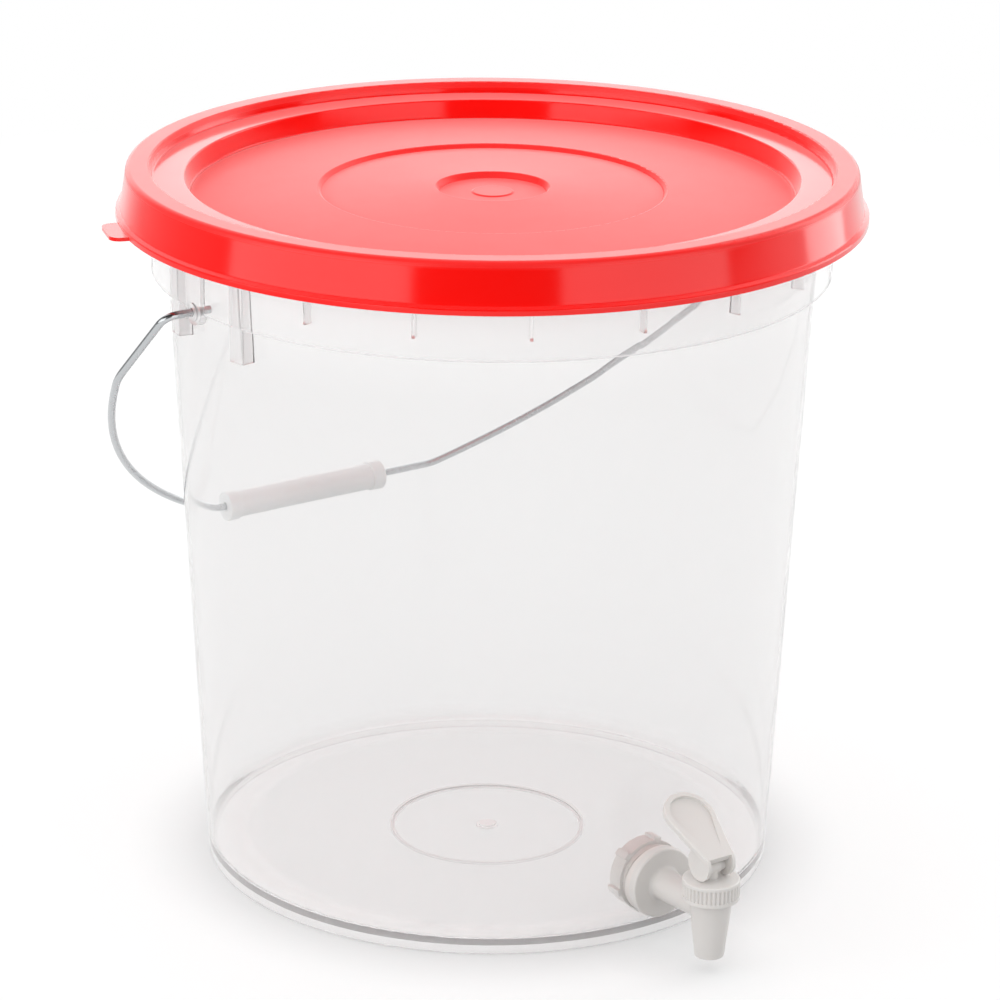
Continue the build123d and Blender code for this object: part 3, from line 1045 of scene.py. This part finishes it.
def hang_curtain(tree, stage, way, right):
    """How bright a way shows in glossy surfaces: dim on the left, where a grey curtain hangs."""
    aside = add_node(
        tree,
        "ShaderNodeVectorMath",
        {1: right},
        {0: way},
        operation="DOT_PRODUCT",
    )
    curtain = add_node(
        tree,
        "ShaderNodeMapRange",
        {
            "From Min": CURTAIN_EDGE[0],
            "From Max": CURTAIN_EDGE[1],
            "To Min": stage.curtain,
            "To Max": 1.0,
        },
        {"Value": aside.outputs["Value"]},
    )
    return curtain.outputs["Result"]


def white_sweep(stage, right):
    """Matt white studio floor: keeps soft shadows near the bucket and runs out to plain white."""
    material, tree = new_material("white_sweep")
    path = add_node(tree, "ShaderNodeLightPath")
    seen = add_node(
        tree,
        "ShaderNodeMath",
        None,
        {0: path.outputs["Is Camera Ray"], 1: path.outputs["Is Glossy Ray"]},
        operation="MAXIMUM",
    )
    shown = add_node(
        tree,
        "ShaderNodeMath",
        None,
        {0: seen.outputs["Value"], 1: path.outputs["Is Transmission Ray"]},
        operation="MAXIMUM",
    )
    nook = add_node(
        tree,
        "ShaderNodeAmbientOcclusion",
        {"Distance": NOOK_REACH},
        samples=NOOK_SAMPLES,
    )
    contact = add_node(
        tree,
        "ShaderNodeMapRange",
        {
            "From Min": NOOK_OPEN[0],
            "From Max": NOOK_OPEN[1],
            "To Min": stage.contact_glow,
            "To Max": stage.floor_glow,
        },
        {"Value": nook.outputs["AO"]},
    )
    strength = add_node(
        tree,
        "ShaderNodeMix",
        {"A": stage.floor_glow},
        {"Factor": path.outputs["Is Camera Ray"], "B": contact.outputs["Result"]},
    )
    glow = add_node(tree, "ShaderNodeEmission", None, {"Strength": strength.outputs["Result"]})
    shade = add_node(tree, "ShaderNodeBsdfDiffuse", {"Color": (*linear(FLOOR_SHADE), 1)})
    pale = add_node(
        tree,
        "ShaderNodeAddShader",
        None,
        {0: shade.outputs["BSDF"], 1: glow.outputs["Emission"]},
    )
    place = add_node(tree, "ShaderNodeTexCoord").outputs["Object"]
    reach = add_node(tree, "ShaderNodeVectorMath", None, {0: place}, operation="LENGTH")
    away = add_node(
        tree,
        "ShaderNodeMapRange",
        {"From Min": FAR_FLOOR[0], "From Max": FAR_FLOOR[1]},
        {"Value": reach.outputs["Value"]},
    )
    # A slightly rough transmission ray counts as glossy too, but the curtain only shows mirrored
    bounced = add_node(
        tree,
        "ShaderNodeMath",
        None,
        {0: path.outputs["Is Glossy Ray"], 1: path.outputs["Is Transmission Ray"]},
        operation="SUBTRACT",
        use_clamp=True,
    )
    way = add_node(tree, "ShaderNodeVectorMath", None, {0: place}, operation="NORMALIZE")
    mirrored = add_node(
        tree,
        "ShaderNodeMix",
        {"A": 1.0},
        {
            "Factor": bounced.outputs["Value"],
            "B": hang_curtain(tree, stage, way.outputs["Vector"], right),
        },
    )
    white = add_node(
        tree,
        "ShaderNodeEmission",
        {"Color": (1, 1, 1, 1)},
        {"Strength": mirrored.outputs["Result"]},
    )
    backdrop = add_node(
        tree,
        "ShaderNodeMixShader",
        None,
        {0: away.outputs["Result"], 1: pale.outputs["Shader"], 2: white.outputs["Emission"]},
    )
    matt = add_node(tree, "ShaderNodeBsdfDiffuse", {"Color": (*linear(FLOOR_BOUNCE), 1)})
    both = add_node(
        tree,
        "ShaderNodeMixShader",
        None,
        {0: shown.outputs["Value"], 1: matt.outputs["BSDF"], 2: backdrop.outputs["Shader"]},
    )
    add_node(tree, "ShaderNodeOutputMaterial", None, {"Surface": both.outputs["Shader"]})
    return material


def lay_floor(stage, right):
    """Pale round floor under the bucket."""
    bpy.ops.mesh.primitive_circle_add(
        vertices=FLOOR_SIDES,
        radius=stage.floor_radius,
        fill_type="NGON",
        location=(0, 0, -FLOOR_SINK),
    )
    floor = bpy.context.object
    floor.name = "floor"
    floor.data.materials.append(white_sweep(stage, right))


def light_room(stage, towards_camera, right, key_way):
    """White backdrop with a soft fill, stronger from above and left, for matt surfaces.

    Glossy ones show the backdrop, a grey curtain on the left and a dim room behind the camera.
    """
    world = bpy.data.worlds.new("studio")
    bpy.context.scene.world = world
    world.use_nodes = True
    tree = world.node_tree
    tree.nodes.clear()
    path = add_node(tree, "ShaderNodeLightPath")
    way = add_node(tree, "ShaderNodeTexCoord").outputs["Generated"]
    side = add_node(
        tree,
        "ShaderNodeVectorMath",
        {1: towards_camera},
        {0: way},
        operation="DOT_PRODUCT",
    )
    mirrored = add_node(
        tree,
        "ShaderNodeMapRange",
        {
            "From Min": ROOM_EDGE[0],
            "From Max": ROOM_EDGE[1],
            "To Min": 1.0,
            "To Max": stage.room,
        },
        {"Value": side.outputs["Value"]},
    )
    reflected = add_node(
        tree,
        "ShaderNodeMath",
        None,
        {0: mirrored.outputs["Result"], 1: hang_curtain(tree, stage, way, right)},
        operation="MULTIPLY",
    )
    key = add_node(
        tree,
        "ShaderNodeVectorMath",
        {1: key_way},
        {0: way},
        operation="DOT_PRODUCT",
    )
    filled = add_node(
        tree,
        "ShaderNodeMapRange",
        {
            "From Min": -1.0,
            "From Max": 1.0,
            "To Min": stage.fill - stage.fill_swing,
            "To Max": stage.fill + stage.fill_swing,
        },
        {"Value": key.outputs["Value"]},
    )
    level = add_node(
        tree,
        "ShaderNodeMix",
        None,
        {
            "Factor": path.outputs["Is Glossy Ray"],
            "A": filled.outputs["Result"],
            "B": reflected.outputs["Value"],
        },
    )
    seen = add_node(
        tree,
        "ShaderNodeMath",
        None,
        {0: path.outputs["Is Camera Ray"], 1: path.outputs["Is Transmission Ray"]},
        operation="MAXIMUM",
    )
    shown = add_node(
        tree,
        "ShaderNodeMix",
        {"B": 1.0},
        {"Factor": seen.outputs["Value"], "A": level.outputs["Result"]},
    )
    white = add_node(
        tree,
        "ShaderNodeBackground",
        {"Color": (1, 1, 1, 1)},
        {"Strength": shown.outputs["Result"]},
    )
    add_node(tree, "ShaderNodeOutputWorld", None, {"Surface": white.outputs["Background"]})


def hang_softbox(name, place, width, height, radiance, lights_matt):
    """Soft lamp of an even radiance that faces the lid, and isn't seen through the clear wall."""
    bpy.ops.object.light_add(type="AREA", location=place)
    lamp = bpy.context.object
    lamp.name = name
    lamp.rotation_euler = (SOFTBOX_AIM - place).to_track_quat("-Z", "Y").to_euler()
    lamp.data.shape = "RECTANGLE"
    lamp.data.size = width
    lamp.data.size_y = height
    lamp.data.energy = radiance * pi * width * height
    lamp.visible_camera = False
    lamp.visible_transmission = False
    lamp.visible_diffuse = lights_matt


def place_camera(stage, towards_camera):
    """Camera at the photograph's viewing angle."""
    bpy.ops.object.camera_add()
    camera = bpy.context.object
    camera.data.sensor_width = SENSOR_WIDTH_MM
    camera.data.lens = stage.lens
    place = towards_camera * stage.distance + Vector((0, 0, stage.camera_height))
    camera.matrix_world = (
        Matrix.Translation(place)
        @ Matrix.Rotation(-stage.bearing - stage.yaw, 4, "Z")
        @ Matrix.Rotation(pi / 2 - stage.pitch, 4, "X")
        @ Matrix.Rotation(stage.roll, 4, "Z")
    )
    bpy.context.scene.camera = camera


class BUCKET_OT_stage(Operator):
    """Lay the floor, light the room and place the camera"""

    bl_idname = "bucket.stage"
    bl_label = "Stage"

    def execute(self, context):
        stage = context.scene.bucket_stage
        towards = Matrix.Rotation(-stage.bearing, 3, "Z") @ Vector((0, -1, 0))
        right = Vector((-towards.y, towards.x, 0))
        up = Vector((0, 0, 1))
        bpy.ops.object.select_all(action="DESELECT")
        lay_floor(stage, right)
        near, aside, height = KEY_WAY
        key_way = (near * towards + aside * right + height * up).normalized()
        light_room(stage, towards, right, key_way)
        for name, near, aside, height, *lamp in SOFTBOXES:
            hang_softbox(name, near * towards + aside * right + height * up, *lamp)
        place_camera(stage, towards)
        context.scene.view_settings.view_transform = "Standard"
        return {"FINISHED"}


OPERATORS = (
    BUCKET_OT_body,
    BUCKET_OT_lid,
    BUCKET_OT_bail,
    BUCKET_OT_white_mouldings,
    BUCKET_OT_seals,
    BUCKET_OT_pin,
    BUCKET_OT_stage,
)


class BUCKET_PT_sidebar(Panel):
    """Lists the bucket's operators and settings"""

    bl_label = "Bucket"
    bl_idname = "BUCKET_PT_sidebar"
    bl_space_type = "VIEW_3D"
    bl_region_type = "UI"
    bl_category = "Bucket"

    def draw(self, context):
        for operator in OPERATORS:
            self.layout.operator(operator.bl_idname)
        for group in (context.scene.bucket_finish, context.scene.bucket_stage):
            for name in type(group).__annotations__:
                self.layout.prop(group, name)


CLASSES = (BucketFinish, BucketStage, *OPERATORS, BUCKET_PT_sidebar)


def register():
    """Adds the classes and the scene's two groups of settings."""
    for cls in CLASSES:
        bpy.utils.register_class(cls)
    bpy.types.Scene.bucket_finish = PointerProperty(type=BucketFinish)
    bpy.types.Scene.bucket_stage = PointerProperty(type=BucketStage)


def unregister():
    """Takes the groups of settings and the classes away again."""
    del bpy.types.Scene.bucket_stage
    del bpy.types.Scene.bucket_finish
    for cls in reversed(CLASSES):
        bpy.utils.unregister_class(cls)


def main():
    """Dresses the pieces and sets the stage."""
    register()
    bpy.ops.bucket.body()
    bpy.ops.bucket.lid()
    bpy.ops.bucket.bail()
    bpy.ops.bucket.white_mouldings()
    bpy.ops.bucket.seals()
    bpy.ops.bucket.pin()
    bpy.ops.bucket.stage()


if __name__ == "__main__":
    main()
